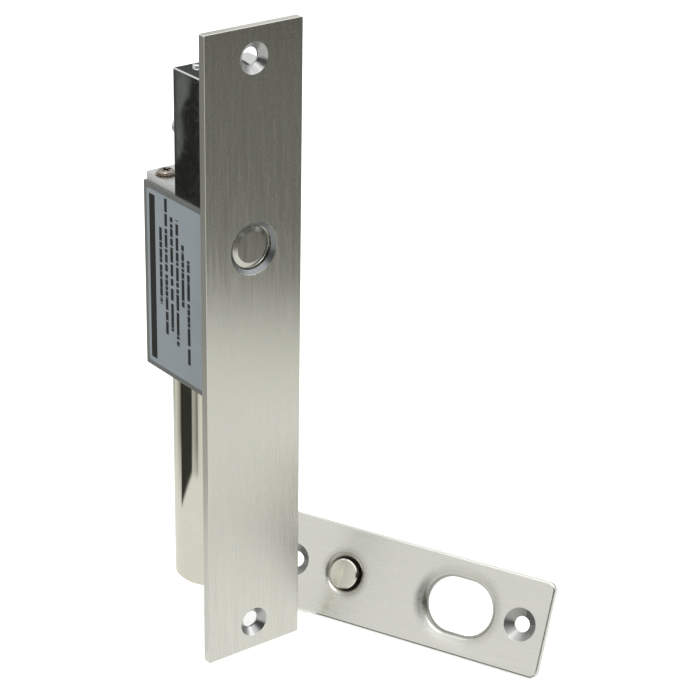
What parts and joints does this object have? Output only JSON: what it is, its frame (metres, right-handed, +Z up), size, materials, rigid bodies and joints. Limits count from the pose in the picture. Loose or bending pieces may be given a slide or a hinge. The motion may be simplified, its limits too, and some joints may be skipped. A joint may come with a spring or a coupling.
{
  "type": "solenoid bolt lock with strike plate",
  "caption": "Flush mortice bolt lock: long face plate, round bolt worked by a solenoid through a lever, polished sensor housing, and a loose strike plate with a magnet.",
  "frame": {"origin": "middle of the two mounting screws, on the back of the face plate, which seats in the rebate of the door frame", "axes": "+Z up along the face plate, +Y from the face plate into the door frame, +X to the right seen from the front; the bolt leaves towards -Y"},
  "size_m": [0.0886, 0.1056, 0.204],
  "materials": {
    "plate_steel": "satin, brushed along its length",
    "strike_steel": "satin, brushed along its length",
    "case_metal": "satin",
    "cover_steel": "satin",
    "label_foil": "metallised foil",
    "polished_steel": "mirror polished",
    "nickel_tube": "nickel plated",
    "zinc_screws": "bright zinc plated",
    "dark_screws": "dark plated",
    "bolt_steel": "turned, polished bevel",
    "pin_steel": "ground",
    "iron_core": "soft iron, turned",
    "spring_steel": "drawn wire",
    "clip_steel": "black oxide",
    "lever_steel": "yellow passivated",
    "brass": "turned",
    "copper_wire": "enamelled copper",
    "bobbin_nylon": "natural nylon",
    "black_plastic": "moulded",
    "relay_case": "moulded",
    "terminal_green": "moulded",
    "board_green": "solder mask",
    "capacitor_can": "can",
    "lead_red": "sleeved wire",
    "reed_glass": "glass capsule",
    "grommet_rubber": "moulded",
    "magnet_nickel": "nickel plated"
  },
  "bodies": {
    "lock": {"face_plate": "plate_steel", "plate_studs": "pin_steel", "stud_nuts": "zinc_screws", "case_body": "case_metal", "side_cover": "cover_steel", "cover_screws": "zinc_screws", "rating_label": "label_foil", "tooth_washers": "dark_screws", "earth_screws": "dark_screws", "sensor_housing": "polished_steel", "housing_back_screws": "zinc_screws", "housing_roof_screws": "zinc_screws", "wire_grommet": "grommet_rubber", "board_bracket": "cover_steel", "bracket_screws": "zinc_screws", "circuit_board": "board_green", "board_spacers": "bobbin_nylon", "board_screws": "zinc_screws", "control_relay": "relay_case", "terminal_block": "terminal_green", "timer_capacitor": "capacitor_can", "reed_switch": "reed_glass", "solenoid_tube": "nickel_tube", "top_pole": "iron_core", "lock_nut": "zinc_screws", "coil_bobbin": "bobbin_nylon", "coil_winding": "copper_wire", "guide_tube": "brass", "coil_leads": "lead_red", "fixed_core": "iron_core", "core_shim": "brass", "bottom_pole": "iron_core", "end_cap": "black_plastic", "core_nut": "zinc_screws", "bolt_bush": "brass", "pivot_pin": "pin_steel", "pivot_clip": "clip_steel"},
    "bolt": {"bolt": "bolt_steel", "bolt_pin": "pin_steel"},
    "lever": {"lever": "lever_steel"},
    "plunger": {"plunger": "iron_core", "plunger_pin": "pin_steel", "spring_collar": "brass", "collar_ring": "clip_steel", "return_spring": "spring_steel"},
    "strike": {"strike_plate": "strike_steel", "strike_magnet": "magnet_nickel", "magnet_holder": "black_plastic"}
  },
  "joints": [
    {"name": "bolt_slide", "type": "slide", "parent": "lock", "child": "bolt", "axis": [0, -1, 0], "range_m": [0, 0.015], "stiffness_N_per_m": 150, "springref_m": -0.008},
    {"name": "lever_turn", "type": "hinge", "parent": "lock", "child": "lever", "pos_m": [0, 0.0286, 0.0094], "axis": [1, 0, 0], "range_deg": [0, 28]},
    {"name": "plunger_slide", "type": "slide", "parent": "lock", "child": "plunger", "axis": [0, 0, -1], "range_m": [0, 0.00515], "deforming": ["return_spring"]},
    {"name": "strike_slide", "type": "slide", "parent": "lock", "child": "strike", "axis": [0.4051, -0.9143, 0], "range_m": [0, 0.06]}
  ],
  "couplings": [
    {"joint": "lever_turn", "follows": "bolt_slide", "rad_per_m": 32.565},
    {"joint": "plunger_slide", "follows": "bolt_slide", "ratio": 0.34226}
  ]
}
